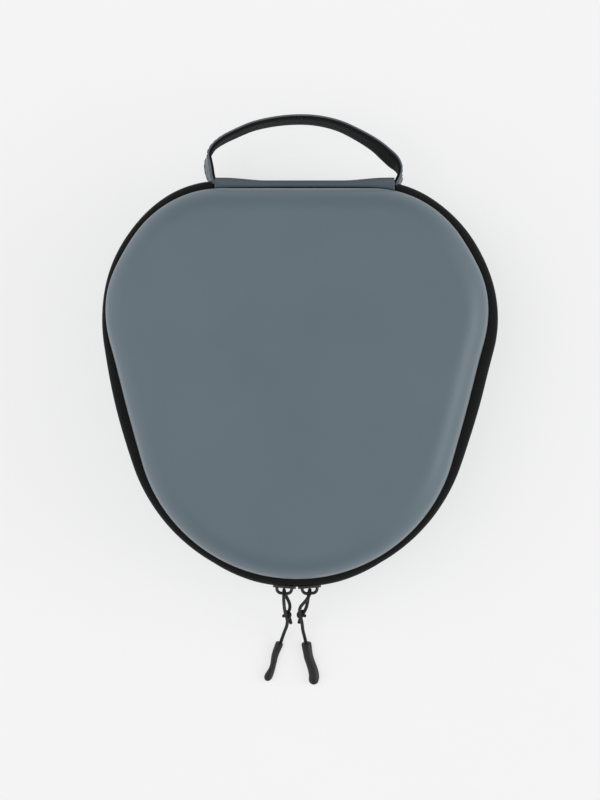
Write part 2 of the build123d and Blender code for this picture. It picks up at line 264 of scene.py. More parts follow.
def netting(name, colour):
    """Knitted net yarn. Its holes are in the mesh."""
    made = Material(name, Specular_IOR_Level=0.3, Sheen_Weight=0.2, Sheen_Roughness=0.5)
    yarn = made.noise(0.25, detail=4)
    made.colours(yarn, (0.3, shade(colour, 0.6)), (0.7, shade(colour, 1.5)))
    made.rough(made.noise(0.3), 0.6, 0.8)
    made.bump((yarn, 0.08, 0.8))
    return made.data


def moulded(name, colour, low, high, grain=0.25, coat=0.0):
    """Moulded rubber, plastic or painted metal, its roughness from low to high."""
    made = Material(name, Specular_IOR_Level=0.5, Coat_Weight=coat, Coat_Roughness=0.3)
    wear = made.noise(3, detail=4)
    made.colours(wear, (0.3, shade(colour, 0.8)), (0.75, shade(colour, 1.25)))
    made.rough(made.noise(0.8, detail=3), low, high)
    made.bump((made.noise(grain, detail=2), 0.02, 0.5), (made.noise(2.5), 0.04, 0.25))
    return made.data


def foam(name, colour):
    """Closed-cell foam."""
    made = Material(name, Specular_IOR_Level=0.15)
    blotch = made.noise(1.5, detail=4)
    made.colours(blotch, (0.3, shade(colour, 0.7)), (0.7, shade(colour, 1.4)))
    made.rough(made.noise(1), 0.85, 0.98)
    made.bump((made.cells(0.6), 0.1, 0.7))
    return made.data


BLACK = (0.0085, 0.0088, 0.0090)
WEBBING_BLACK = (0.0065, 0.0067, 0.007)
finishes = {
    "shell_cover": coated_cloth("shell_cover", (0.106, 0.150, 0.180)),
    "spine_cover": coated_cloth("spine_cover", (0.083, 0.112, 0.138)),
    "strap_cover": coated_cloth("strap_cover", (0.092, 0.112, 0.127)),
    "zip_tape": woven("zip_tape", BLACK, 0.55, 0.09, sheen=0.08),
    "binding": woven("binding", BLACK, 0.6, 0.12, ribbed=0.9),
    "strap_webbing": woven("strap_webbing", WEBBING_BLACK, 0.7, 0.22, sheen=0.05, ribbed=1.0),
    "pocket_elastic": woven("pocket_elastic", BLACK, 0.6, 0.2, ribbed=1.3),
    "pull_cord": woven("pull_cord", (0.013, 0.013, 0.0135), 0.42, 0.08, sheen=0.12),
    "lining": napped("lining", (0.032, 0.034, 0.036)),
    "pocket_net": netting("pocket_net", (0.009, 0.009, 0.0095)),
    "foam_core": foam("foam_core", (0.02, 0.02, 0.022)),
    "zip_coil": moulded("zip_coil", (0.013, 0.013, 0.013), 0.3, 0.45),
    "slider_metal": moulded("slider_metal", (0.012, 0.012, 0.012), 0.3, 0.45, coat=0.2),
    "pull_grip": moulded("pull_grip", (0.0065, 0.0065, 0.007), 0.42, 0.56, grain=0.3),
}


# ---------------------------------------------------------------- meshes

def piece(name, points, faces, slot, uvs=None):
    """A mesh object from points in millimetres, with its normals outward."""
    data = bpy.data.meshes.new(name)
    data.from_pydata([tuple(p) for p in np.asarray(points, float) * MM], [], faces)
    if uvs is not None:
        layer = data.uv_layers.new(name="UVMap")
        layer.data.foreach_set("uv", np.asarray(uvs, np.float32).ravel() * MM)
    made = bmesh.new()
    made.from_mesh(data)
    bmesh.ops.recalc_face_normals(made, faces=made.faces)
    made.to_mesh(data)
    made.free()
    data.polygons.foreach_set("use_smooth", [True] * len(data.polygons))
    data.materials.append(finishes[slot])
    obj = bpy.data.objects.new(name, data)
    bpy.context.scene.collection.objects.link(obj)
    return obj


def lengths(points, closed):
    """Distance along points, with one more value at the end where the line closes."""
    points = np.asarray(points, float)
    if closed:
        points = np.vstack([points, points[:1]])
    steps = np.linalg.norm(np.diff(points, axis=0), axis=1)
    return np.concatenate([[0], np.cumsum(steps)])


def along_line(at, far, values):
    """Columns of values read at a distance, or at several, along a line."""
    return np.stack([np.interp(at, far, column) for column in values.T], axis=-1)


def loft(name, grid, slot, closed_path=False):
    """A surface over grid[i][j]: i along a path and j round a closed section.
    An open path gets a flat face at each end."""
    grid = np.asarray(grid, float)
    count, around = grid.shape[:2]
    along, across = lengths(grid[:, 0], closed_path), lengths(grid[0], True)
    faces, uvs = [], []
    for i in range(count if closed_path else count - 1):
        k = (i + 1) % count
        for j in range(around):
            m = (j + 1) % around
            faces.append((i * around + j, k * around + j, k * around + m, i * around + m))
            uvs += [(along[i], across[j]), (along[i + 1], across[j]),
                    (along[i + 1], across[j + 1]), (along[i], across[j + 1])]
    if not closed_path:
        for start in (0, (count - 1) * around):
            faces.append(tuple(range(start, start + around)))
            uvs += [(0, across[j]) for j in range(around)]
    return piece(name, grid.reshape(-1, 3), faces, slot, uvs)


def bowl(name, rings, middle_low, middle_high, slot):
    """A closed thin shell: rings from its outer middle, over the rim, to its inner middle."""
    rings = np.asarray(rings, float)
    count, around = rings.shape[:2]
    points = np.vstack([rings.reshape(-1, 3), [middle_low, middle_high]])
    faces = []
    for i in range(count - 1):
        for j in range(around):
            m = (j + 1) % around
            here, there = i * around, (i + 1) * around
            faces.append((here + j, there + j, there + m, here + m))
    first, last = count * around, count * around + 1
    for j in range(around):
        m = (j + 1) % around
        faces.append((first, j, m))
        faces.append((last, (count - 1) * around + m, (count - 1) * around + j))
    return piece(name, points, faces, slot)


def close_rings(faces, first, rings, around):
    """Faces over rings of points numbered from first, with a cap at each end."""
    for ring in range(rings - 1):
        here, there = first + ring * around, first + (ring + 1) * around
        for a in range(around):
            b = (a + 1) % around
            faces.append((here + a, there + a, there + b, here + b))
    last = first + (rings - 1) * around
    faces.append(tuple(range(first, first + around)))
    faces.append(tuple(range(last, last + around)))


# One stitch: (share of its length from its middle, share of its half width)
STITCH_SECTION = [(-0.5, 0.35), (-0.38, 0.85), (0.0, 1.0), (0.38, 0.85), (0.5, 0.35)]
STITCH_SIDES = 6


def stitches(name, line, ways, slot, length=2.1, gap=1.1, width=0.34):
    """A row of thread stitches along a line, each a little pillow standing along ways."""
    line, ways = np.asarray(line, float), np.asarray(ways, float)
    far = lengths(line, False)
    count = int(far[-1] / (length + gap))
    points, faces = [], []
    for n in range(count):
        at = (n + 0.5) * far[-1] / count
        spot, up = along_line(at, far, line), along_line(at, far, ways)
        up /= np.linalg.norm(up)
        run = along_line(at + 0.4, far, line) - along_line(at - 0.4, far, line)
        run /= np.linalg.norm(run)
        across = np.cross(run, up)
        close_rings(faces, len(points), len(STITCH_SECTION), STITCH_SIDES)
        for share, size in STITCH_SECTION:
            for a in range(STITCH_SIDES):
                angle = math.tau * a / STITCH_SIDES
                points.append(spot + run * length * share + across * width * size * math.cos(angle)
                              + up * width * size * math.sin(angle))
    return piece(name, points, faces, slot)


def outward(heading):
    """Unit direction for a clockwise heading from +Y, in radians."""
    return np.stack([np.sin(heading), np.cos(heading)], axis=-1)


SAMPLES = 480
ARC_STEPS = 240


def rounded_outline(half, top, turns):
    """A closed outline, symmetrical about X = 0, clockwise from the middle of its back.
    It runs straight for half, at Y top, and then turns along arcs of (radius, heading in
    degrees where the arc ends). An arc without a radius ends at X = 0.
    Returns SAMPLES points, evenly spaced, and their outward directions."""
    places, headings = [np.array([0.0, top]), np.array([half, top])], [0.0, 0.0]
    heading = 0.0
    for radius, end in turns:
        end = math.radians(end)
        start = places[-1]
        if radius is None:
            radius = start[0] / math.sin(heading)
        centre = start - outward(heading) * radius
        for k in range(1, ARC_STEPS + 1):
            angle = heading + (end - heading) * k / ARC_STEPS
            places.append(centre + outward(angle) * radius)
            headings.append(angle)
        heading = end
    right, turn = np.array(places), np.array(headings)
    far = lengths(right, False)
    at = (np.arange(SAMPLES // 2) + 0.5) * far[-1] / (SAMPLES // 2)
    way = outward(np.interp(at, far, turn))
    points = along_line(at, far, right)
    flip = np.array([-1, 1])
    return np.vstack([points, (points * flip)[::-1]]), np.vstack([way, (way * flip)[::-1]])


# The outlines of the shells' rim and of the zipper's band, both seen from above
rim, rim_out = rounded_outline(
    39.3, 102.9, [(56.8, 29.0), (67.0, 105.0), (3400, 106.1), (80.7, 122.5), (None, 180)]
)
band, _ = rounded_outline(
    40.3, 107.1, [(55.1, 35.3), (77.4, 100.3), (419, 109.5), (93.4, 151), (None, 180)]
)


def swell(y, middle, half_width):
    """A smooth hump along Y, 1 at its middle."""
    return np.exp(-(((y - middle) / half_width) ** 2))


# The sewn seam draws the shells in at their shoulders and flanks, and the zipper's line
# wanders to the right along the upper half, clear of the arc that the sliders run on.
rim_drawn_in = 1.4 * swell(rim[:, 1], 71, 16) + 0.7 * swell(rim[:, 1], 15, 22)
rim = rim - rim_out * rim_drawn_in[:, None]
band[:, 0] += 1.65 * swell(band[:, 1], 37, 38) + 0.5 * swell(band[:, 1], 83, 14)


LEAST_REACH, MOST_REACH = 1.6, 6.4
FRONT_REACH = 4.35


def band_reach():
    """How far the zipper's band stands out from the rim, at each of the rim's points. It is
    smoothed, and is no less than FRONT_REACH where the sliders run."""
    reach = []
    for spot, way in zip(rim, rim_out):
        aside = (band - spot) @ np.array([way[1], -way[0]])
        ahead = (band - spot) @ way
        near = np.where(ahead > 0, np.abs(aside), 1e9)
        reach.append(ahead[int(near.argmin())])
    reach = np.clip(np.array(reach), LEAST_REACH, MOST_REACH)
    for _ in range(12):
        reach = (np.roll(reach, 1) + 2 * reach + np.roll(reach, -1)) / 4
    front_share = np.clip((-rim[:, 1] - 92) / 9, 0, 1)
    return reach + (np.maximum(reach, FRONT_REACH) - reach) * front_share


bulge = band_reach()


def at_height(z, lid):
    """Z in the case, for a height above the rim's plane of the lid or the base."""
    return LID_RIM + z if lid else BASE_RIM - z


# Rings up the wall, round the edge and over the top of a shell
WALL_RINGS, EDGE_RINGS, TOP_RINGS = 9, 18, 15
EDGE_END_DEGREES = 88
TOP_MIDDLE = np.array([0.0, 6.0])


def shell_rings(inset, lid, crown):
    """Rings of one face of a shell, from the rim to the top, and the top's middle."""
    turn_height = SHELL_HEIGHT - EDGE_RADIUS
    centre = EDGE_RADIUS * math.cos(DRAFT_ANGLE) + (
        turn_height + EDGE_RADIUS * math.sin(DRAFT_ANGLE)
    ) * DRAFT
    radius = EDGE_RADIUS - inset
    section = []  # (distance outward from the rim, height, share of the way to the middle)
    wall_end = turn_height + radius * math.sin(DRAFT_ANGLE)
    for k in range(WALL_RINGS):
        z = wall_end * k / WALL_RINGS
        section.append((-inset / math.cos(DRAFT_ANGLE) - z * DRAFT, z, 0.0))
    for k in range(EDGE_RINGS + 1):
        turned = (EDGE_END_DEGREES - DRAFT_DEGREES) * k / EDGE_RINGS
        angle = math.radians(DRAFT_DEGREES + turned)
        out, z = -centre + radius * math.cos(angle), turn_height + radius * math.sin(angle)
        section.append((out, z, 0.0))
    edge_out, edge_z, _ = section[-1]
    for k in range(1, TOP_RINGS):
        share = k / TOP_RINGS
        section.append((edge_out, edge_z + crown * (1 - (1 - share) ** 2), share))
    rings = []
    for out, z, share in section:
        ring = (rim + rim_out * out) * (1 - share) + TOP_MIDDLE * share
        rings.append(np.column_stack([ring, np.full(SAMPLES, at_height(z, lid))]))
    return rings, (*TOP_MIDDLE, at_height(edge_z + crown, lid))


def shell_layer(name, lid, near, far, slot):
    """One layer of a shell, between two insets from its outside."""
    crown = LID_CROWN if lid else 0.0
    outer, outer_top = shell_rings(near, lid, crown)
    inner, inner_top = shell_rings(far, lid, crown)
    return bowl(name, outer[::-1] + inner, outer_top, inner_top, slot)


def rim_sweep(section, lid, order, scale):
    """A section swept along the rim's points in order. Its own points are (distance outward,
    height above the rim's plane), the first stretched by scale at each of the rim's points."""
    return [[(*(rim[k] + rim_out[k] * out * scale[k]), at_height(z, lid)) for out, z in section]
            for k in order]


# ---------------------------------------------------------------- shells

# (layer, slot, how far its outer and its inner face lie in from the shell's outside)
SHELL_LAYERS = [
    ("cover", "shell_cover", 0, COVER),
    ("core", "foam_core", COVER, COVER + CORE),
    ("lining", "lining", COVER + CORE, WALL),
]
# (distance outward, height above the rim's plane)
BINDING_SECTION = [
    (-4.36, 7.0), (-4.9, 7.15), (-5.25, 6.7), (-5.3, 3.6), (-5.25, 0.6), (-5.0, -0.25),
    (-4.4, -0.62), (-2.9, -0.74), (-1.4, -0.66), (-0.75, -0.36), (-0.7, -0.02), (-2.5, -0.02),
    (-4.36, -0.02),
]
BINDING_STITCH_INSET, BINDING_STITCH_HEIGHT = 5.34, 4.6

for lid in (True, False):
    side = "lid" if lid else "base"
    for layer, slot, near, far in SHELL_LAYERS:
        made = shell_layer(f"{side}_{layer}_cloth", lid, near, far, slot)
        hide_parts(f"{side}_{layer}")
        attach(made, side)

    # Woven tape folded over the raw edge of the rim
    leaning = [(out - max(z, 0) * DRAFT, z) for out, z in BINDING_SECTION]
    grid = rim_sweep(leaning, lid, range(SAMPLES), np.ones(SAMPLES))
    made = loft(f"{side}_binding_tape", grid, "binding", closed_path=True)
    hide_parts(f"{side}_binding")
    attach(made, side)
    inset = BINDING_STITCH_INSET + BINDING_STITCH_HEIGHT * DRAFT
    height = at_height(BINDING_STITCH_HEIGHT, lid)
    row = [(*(spot - way * inset), height) for spot, way in zip(rim, rim_out)]
    inward = np.column_stack([-rim_out, np.zeros(SAMPLES)])
    sewn = stitches(f"{side}_binding_stitches", row + row[:1], np.vstack([inward, inward[:1]]),
                    "binding", length=2.6, gap=1.2)
    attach(sewn, side)


# ---------------------------------------------------------------- zipper

# The rim's points that the zipper follows: all but those behind the spine
behind_spine = (rim[:, 1] > 80) & (rim[:, 0] > SPINE_X[0] + 3) & (rim[:, 0] < SPINE_X[1] - 3)
zipped = ~behind_spine
start = int(np.argmax(zipped & ~np.roll(zipped, 1)))
zip_order = [(start + k) % SAMPLES for k in range(int(zipped.sum()))]

# (share of the bulge outward, height above the rim's plane)
TAPE_SECTION = [
    (-0.12, 0.02), (0.10, -0.06), (0.34, -0.30), (0.58, -0.72), (0.78, -1.34), (0.92, -2.15),
    (0.985, -3.1), (1.0, -4.0), (0.99, -4.62), (0.93, -4.74), (0.82, -4.66), (0.79, -4.1),
    (0.775, -3.2), (0.71, -2.35), (0.58, -1.75), (0.40, -1.25), (0.18, -0.95), (-0.12, -0.8),
]
COIL_PITCH = 1.5
# One turn: (distance along the zipper, share of its half width and half height)
COIL_SECTION = [(-0.33, 0.78), (0.0, 1.0), (0.33, 0.78)]
COIL_SIDES = 8
COIL_HALF_WIDTH, COIL_HALF_HEIGHT, COIL_MIDDLE = 0.5, 1.15, 0.75

for lid in (True, False):
    side, which, away = ("lid", "upper", 1) if lid else ("base", "lower", -1)
    grid = rim_sweep(TAPE_SECTION, lid, zip_order, bulge)
    tape = loft(f"zip_tape_{which}_cloth", grid, "zip_tape")
    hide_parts(f"zip_tape_{which}", f"zip_flange_{which}")
    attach(tape, side)

    # Coil: one small lozenge for each turn, on the inside of the tape
    points, faces = [], []
    ways = rim_out[zip_order]
    path = rim[zip_order] + ways * (bulge[zip_order] * 0.775 - 0.75)[:, None]
    far = lengths(path, False)
    turns = int(far[-1] / COIL_PITCH)
    for t in range(turns):
        at = (t + (0.25 if lid else 0.75)) * far[-1] / turns
        spot, way = along_line(at, far, path), along_line(at, far, ways)
        along = np.array([way[1], -way[0]])
        close_rings(faces, len(points), len(COIL_SECTION), COIL_SIDES)
        for step, size in COIL_SECTION:
            for a in range(COIL_SIDES):
                angle = math.tau * a / COIL_SIDES
                xy = spot + along * step + way * COIL_HALF_WIDTH * size * math.cos(angle)
                rise = COIL_MIDDLE + COIL_HALF_HEIGHT * size * math.sin(angle)
                points.append((*xy, ZIP_MIDDLE + away * rise))
    coil = piece(f"zip_coil_{which}_turns", points, faces, "zip_coil")
    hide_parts(f"zip_coil_{which}")
    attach(coil, side)


# ---------------------------------------------------------------- spine

BACK = rim[:110]  # the rim's points along its back, right of the middle
SPINE_FACE, SPINE_END_RISE = 107.1, 1.45


def rim_back(x):
    """Y of the rim's back edge at this X."""
    return float(np.interp(abs(x), BACK[:, 0], BACK[:, 1]))


def spine_edges(x):
    """Y of the spine cloth's sewn edge and of its outer face, at this X. Both bend smoothly:
    the face stands out further near the two ends, where the handle is sewn in."""
    ends = min(1.0, abs((x - sum(FLAP_X) / 2) / ((FLAP_X[1] - FLAP_X[0]) / 2)))
    rise = min(1.0, max(0.0, (ends - 0.42) / 0.48))
    outer = SPINE_FACE + SPINE_END_RISE * rise * rise * (3 - 2 * rise)
    return rim_back(x) + 0.35 - 0.35 * ends**3, outer


def spine_section(x):
    """The spine cloth's section: along its top, down its outer face and back inside."""
    inner, outer = spine_edges(x)
    mid = inner + (outer - inner) * 0.55
    return [
        (inner, 0.55), (inner + 0.25, 0.95), (inner + 0.8, 1.12), (mid, 1.14),
        (outer - 1.5, 1.02), (outer - 0.95, 0.80), (outer - 0.5, 0.42), (outer - 0.2, -0.1),
        (outer - 0.04, -0.7), (outer, -1.4), (outer, -2.4), (outer, -3.6), (outer, -5.0),
        (outer - 0.85, -5.0), (outer - 0.85, -3.6), (outer - 0.85, -2.4), (outer - 0.87, -1.4),
        (outer - 0.95, -0.85), (outer - 1.15, -0.4), (outer - 1.5, -0.02), (outer - 2.0, 0.2),
        (mid, 0.3), (inner + 0.8, 0.3), (inner + 0.2, 0.3),
    ]


# (distance in from the face, height above the zipper's middle)
SPINE_LINING_SECTION = [
    (0.05, -4.1), (0.05, 0), (0.05, 4.1), (0.35, 4.25), (0.62, 4.0), (0.66, 0), (0.62, -4.0),
    (0.35, -4.25),
]


for lid in (True, False):
    which, away = ("upper", 1) if lid else ("lower", -1)
    grid = [[(x, y, at_height(z, lid)) for y, z in spine_section(x)]
            for x in np.linspace(*FLAP_X, 99)]
    cloth = loft(f"spine_cloth_{which}", grid, "spine_cover")
    nodes = ["spine_tab_" + which] + (["spine_panel"] if lid else [])
    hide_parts(*nodes)
    if lid:
        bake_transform(cloth)
    else:
        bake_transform(cloth)

grid = []
for x in np.linspace(SPINE_X[0] + 3.3, SPINE_X[1] - 3.3, 60):
    face = min(spine_edges(x)[1] - 0.9, 107.42)
    grid.append([(x, face - depth, ZIP_MIDDLE + z) for depth, z in SPINE_LINING_SECTION])
made = loft("spine_lining_cloth", grid, "lining")
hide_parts("spine_lining")
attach(made, "spine")


# ---------------------------------------------------------------- handle

def smooth_curve(points, samples):
    """A Catmull-Rom line through points, evenly spaced."""
    p = np.asarray(points, float)
    p = np.vstack([2 * p[0] - p[1], p, 2 * p[-1] - p[-2]])
    line = []
    for a, b, c, d in zip(p, p[1:], p[2:], p[3:]):
        for t in np.linspace(0, 1, 24, endpoint=False):
            line.append(0.5 * (2 * b + (c - a) * t + (2 * a - 5 * b + 4 * c - d) * t**2
                               + (3 * b - a - 3 * c + d) * t**3))
    line = np.array(line + [p[-2]])
    far = lengths(line, False)
    return along_line(np.linspace(0, far[-1], samples), far, line)


# The strap's middle line, and how far its upper edge leans outward there, in degrees
STRAP_PLAN = [
    (-43.9, 105.1, -8), (-45.7, 109.5, -14), (-46.6, 113.7, -17), (-46.9, 117.6, -12),
    (-46.2, 121.6, 0), (-43.9, 125.3, 3), (-39.7, 128.5, 7), (-34.6, 131.2, 9),
    (-24.2, 135.7, 10), (-13.8, 138.2, 11), (-2.0, 139.5, 12), (10.0, 139.1, 13),
    (21.8, 136.4, 15), (32.1, 131.6, 18), (41.2, 126.1, 22), (47.0, 121.2, 26),
    (51.0, 117.4, 25), (53.6, 114.0, 12), (54.5, 110.2, -4), (53.8, 107.2, -9),
    (52.3, 104.4, -9),
]
STRAP_WIDTH = 12.0
STRAP_STITCHES_FROM_EDGE = 1.3
# A layer's section: (share of its half width, share of its thickness)
STRAP_SECTION = [
    (-1, 0.3), (-0.97, 0), (-0.5, 0), (0, 0), (0.5, 0), (0.97, 0), (1, 0.3),
    (1, 0.7), (0.97, 1), (0.5, 1), (0, 1), (-0.5, 1), (-0.97, 1), (-1, 0.7),
]


def strap_frames():
    """At each point along the strap: its middle, and the ways across its width and outward."""
    plan = smooth_curve(STRAP_PLAN, 240)
    up = np.array([0.0, 0.0, 1.0])
    runs = np.gradient(plan[:, :2], axis=0)
    runs /= np.linalg.norm(runs, axis=1)[:, None]
    for (x, y, degrees), run in zip(plan, runs):
        lean = np.radians(degrees)
        out = np.array([-run[1], run[0], 0.0])
        wide = up * math.cos(lean) + out * math.sin(lean)
        thick = out * math.cos(lean) - up * math.sin(lean)
        yield np.array([x, y, ZIP_MIDDLE]), wide, thick


def strap(name, slot, low, high, edge_inset):
    """One layer of the strap, from low to high outward of its middle line."""
    half = STRAP_WIDTH / 2 - edge_inset
    grid = [[middle + wide * half * w + thick * (low + (high - low) * t) for w, t in STRAP_SECTION]
            for middle, wide, thick in strap_frames()]
    made = loft(name, grid, slot)
    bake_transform(made)
    return made


cover = strap("strap_cover_cloth", "strap_cover", 0.2, 1.1, 0.0)
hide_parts("handle_cover", "handle_end_left", "handle_end_right")
webbing = strap("strap_webbing_tape", "strap_webbing", -1.1, 0.18, 0.25)
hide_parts("handle_webbing")

for near, name in ((1, "upper"), (-1, "lower")):
    edge = near * (STRAP_WIDTH / 2 - STRAP_STITCHES_FROM_EDGE)
    row = [middle + wide * edge + thick * 1.12 for middle, wide, thick in strap_frames()]
    ways = [thick for middle, wide, thick in strap_frames()]
    sewn = stitches(f"strap_stitches_{name}", row, ways, "strap_cover")
    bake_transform(sewn)

# Close stitches that catch the flap's two ends
for end, name in ((FLAP_X[0] + 0.75, "left"), (FLAP_X[1] - 0.75, "right")):
    inner = rim_back(end) + 0.5
    row = [(end, inner + 3.4 * share, LID_RIM + 1.13) for share in np.linspace(0, 1, 12)]
    sewn = stitches(f"flap_stitches_{name}", row, [(0, 0, 1)] * len(row), "spine_cover",
                    length=0.75, gap=0.2, width=0.26)
    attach(sewn, "lid")


# ---------------------------------------------------------------- sliders

for side in ("left", "right"):
    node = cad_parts["slider_" + side]
    node.data.materials.clear()
    node.data.materials.append(finishes["slider_metal"])
    edge = node.modifiers.new("edges", "BEVEL")
    edge.width, edge.segments, edge.limit_method = 0.22 * MM, 2, "ANGLE"
    edge.angle_limit = math.radians(50)


# ---------------------------------------------------------------- pulls

# The middle of the wire of each slider's crown
CROWN = {"left": (-6.892, -111.428, 37.0), "right": (6.892, -111.428, 37.0)}
CORD_DIAMETER = 1.8
PLAIT_DEPTH = 0.035
LOOP_RADIUS, LOOP_SLOPE = 1.9, math.radians(54)


def by_crown(along, aside, across=0.0):
    """A point by the crown's wire: along the hanging cord, and aside of it."""
    return (across, along * math.cos(LOOP_SLOPE) + aside * math.sin(LOOP_SLOPE),
            -along * math.sin(LOOP_SLOPE) + aside * math.cos(LOOP_SLOPE))


# From the grip, over the crown's wire, back under it and to the cut end.
# Each point is (to the right of, in front of, above) the crown wire's middle.
CORD_ROUTES = {
    "left": [
        (-2.3, 30.1, -34.1), (-1.1, 26.4, -32.6), (0.2, 22.6, -29.1), (1.5, 19.2, -24.7),
        (1.8, 15.6, -20.0), (0.4, 11.2, -14.2), by_crown(4.6, LOOP_RADIUS, -0.2),
        by_crown(-LOOP_RADIUS, LOOP_RADIUS), by_crown(-LOOP_RADIUS, -LOOP_RADIUS),
        by_crown(2.9, -LOOP_RADIUS, 0.3), (2.9, 5.8, -11.0), (3.2, 9.2, -15.2), (1.8, 12.4, -19.4),
        (3.1, 15.4, -22.9), (3.5, 17.9, -25.9),
    ],
    "right": [
        (-1.9, 30.1, -34.1), (-2.8, 26.0, -32.3), (-3.8, 22.0, -28.4), (-4.2, 17.6, -22.9),
        (-5.2, 12.6, -16.2), (-5.7, 8.6, -11.4), by_crown(4.6, LOOP_RADIUS, -2.2),
        by_crown(-LOOP_RADIUS, LOOP_RADIUS), by_crown(-LOOP_RADIUS, -LOOP_RADIUS),
        by_crown(2.9, -LOOP_RADIUS, -0.6), (-1.3, 5.8, -10.9), (-2.0, 9.2, -15.3),
        (-3.9, 12.8, -19.9), (-5.3, 15.4, -22.8), (-5.8, 17.6, -25.4),
    ],
}
STRANDS_LEAVE = (0.0, 1.2, -1.6)
GRIP_LINES = {
    "left": [(-2.5, 29.3, -33.8), (-3.1, 30.8, -34.3), (-4.3, 33.8, -34.7), (-5.3, 37.0, -34.7),
             (-5.9, 40.3, -34.7), (-6.8, 43.6, -34.7), (-8.3, 46.9, -34.7), (-10.0, 49.9, -34.7)],
    "right": [(-1.9, 29.3, -33.8), (-1.7, 30.8, -34.3), (-1.2, 33.8, -34.6), (-0.6, 37.1, -34.6),
              (0.5, 40.4, -34.6), (1.6, 43.6, -34.6), (2.3, 46.9, -34.6), (2.1, 49.6, -34.6),
              (1.6, 52.0, -34.6)],
}
# Half width and half height of each grip, and how they swell from its mouth to its end
GRIP_SIZES = {"left": (2.15, 2.2), "right": (2.75, 2.25)}
GRIP_SWELL = {
    "left": [(0, 0.82), (0.012, 0.95), (0.05, 1.0), (0.2, 0.94), (0.42, 0.84), (0.56, 0.75),
             (0.66, 0.78), (0.78, 0.94), (0.86, 1.04), (0.93, 0.94), (0.975, 0.66), (1.0, 0.2)],
    "right": [(0, 0.84), (0.012, 0.96), (0.05, 1.0), (0.25, 0.93), (0.5, 0.93), (0.7, 1.0),
              (0.85, 1.03), (0.93, 0.93), (0.975, 0.66), (1.0, 0.2)],
}
KNOTS = {"left": (1.4, 12.7, -17.8), "right": (-4.5, 12.6, -18.0)}
KNOT_SCALE = 0.63


def by_side(points, side):
    """Points that are given by a crown, in the case's own frame."""
    x, y, z = CROWN[side]
    return np.array([(x + a, y - b, z + c) for a, b, c in points])


def smooth_cord(name, points):
    """The route's own NURBS line as evaluated points, in millimetres."""
    data = bpy.data.curves.new(name, "CURVE")
    data.dimensions = "3D"
    spline = data.splines.new("NURBS")
    spline.points.add(len(points) - 1)
    for control, spot in zip(spline.points, points):
        control.co = (*(spot * MM), 1)
    spline.order_u = 3
    spline.use_endpoint_u = True
    spline.resolution_u = 24
    obj = bpy.data.objects.new(name, data)
    mesh = bpy.data.meshes.new_from_object(obj)
    line = np.array([v.co for v in mesh.vertices], float) / MM
    bpy.data.meshes.remove(mesh)
    bpy.data.objects.remove(obj)
    bpy.data.curves.remove(data)
    return line


def tube(name, line, radius, slot, around=16, closed=False, stretch=(1.0, 1.0), twist=0.0):
    """A tube along a line. Its radius may vary along it, stretch widens and heightens it, and
    twist is the depth of a plait on it."""
    line = np.asarray(line, float)
    count = len(line)
    run = (np.roll(line, -1, 0) - np.roll(line, 1, 0)) if closed else np.gradient(line, axis=0)
    run /= np.linalg.norm(run, axis=1)[:, None]
    radius = np.broadcast_to(radius, (count,))
    across = np.cross(run[0], (0, 0, 1))
    across /= np.linalg.norm(across)
    frames = []
    for way in run:
        across = across - way * (across @ way)
        across /= np.linalg.norm(across)
        frames.append((across, np.cross(across, way)))
    spare = 0.0
    if closed:  # spread what the frame has turned by over the whole line
        first = frames[0][0]
        spare = math.atan2(frames[-1][1] @ first, frames[-1][0] @ first)
    width, height = stretch
    grid = []
    for k, (at, (across, up)) in enumerate(zip(lengths(line, False) * 3.2, frames)):
        ring = []
        for a in range(around):
            angle = math.tau * a / around + spare * k / count
            plait = 1 + twist * math.cos(2 * angle + at) * math.cos(2 * angle - at)
            way = across * math.cos(angle) * width + up * math.sin(angle) * height
            ring.append(line[k] + radius[k] * plait * way)
        grid.append(ring)
    return loft(name, grid, slot, closed_path=closed)


def even(line, step):
    """The same line, its points about a step apart."""
    far = lengths(line, False)
    return along_line(np.linspace(0, far[-1], max(3, int(far[-1] / step))), far, line)


def knot_line(side):
    """The knot that ties both strands: a tight trefoil about the cord."""
    place = by_side([KNOTS[side]], side)[0]
    down = np.array([0.0, -math.cos(LOOP_SLOPE), -math.sin(LOOP_SLOPE)])
    across = np.array([1.0, 0.0, 0.0])
    ahead = np.cross(down, across)
    flip = 1 if side == "left" else -1
    line = []
    for t in np.linspace(0, math.tau, 96, endpoint=False):
        a = math.sin(t) + 2 * math.sin(2 * t)
        b = math.cos(t) - 2 * math.cos(2 * t)
        c = -math.sin(3 * t)
        line.append(place + KNOT_SCALE * (across * a * flip + ahead * b * 0.85 + down * c * 1.9))
    return np.array(line)


for side in ("left", "right"):
    body = "pull_" + side
    line = smooth_cord("route_" + side, by_side(CORD_ROUTES[side], side))
    cord_line = even(line, 0.3)
    cord = tube(f"cord_{side}", cord_line, CORD_DIAMETER / 2, "pull_cord", twist=PLAIT_DEPTH)
    knot = tube(f"knot_{side}", knot_line(side), CORD_DIAMETER / 2, "pull_cord", around=12,
                closed=True, twist=PLAIT_DEPTH)

    grip_line = even(smooth_curve(by_side(GRIP_LINES[side], side), 160), 0.28)
    share = lengths(grip_line, False)
    share /= share[-1]
    girth = np.interp(share, *zip(*GRIP_SWELL[side]))
    grip = tube(f"grip_{side}", grip_line, girth, "pull_grip", around=28, stretch=GRIP_SIZES[side])

    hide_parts("pull_cord_" + side)
    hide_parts("pull_grip_" + side)
    for obj in (cord, knot, grip):
        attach(obj, body)
    (by_side([STRANDS_LEAVE], side)[0] * MM).tolist()


# ---------------------------------------------------------------- mesh pocket

POCKET_HEIGHT, POCKET_MOUTH = 18.0, 12.0  # how deep in the lid, and the mouth's Y
POCKET_LEVEL = LID_RIM + POCKET_HEIGHT + 0.3
NET_SAG, NET_DEPTH = 0.45, 84
HOLE_PITCH, HOLE_WIDTH = 3.2, 2.15

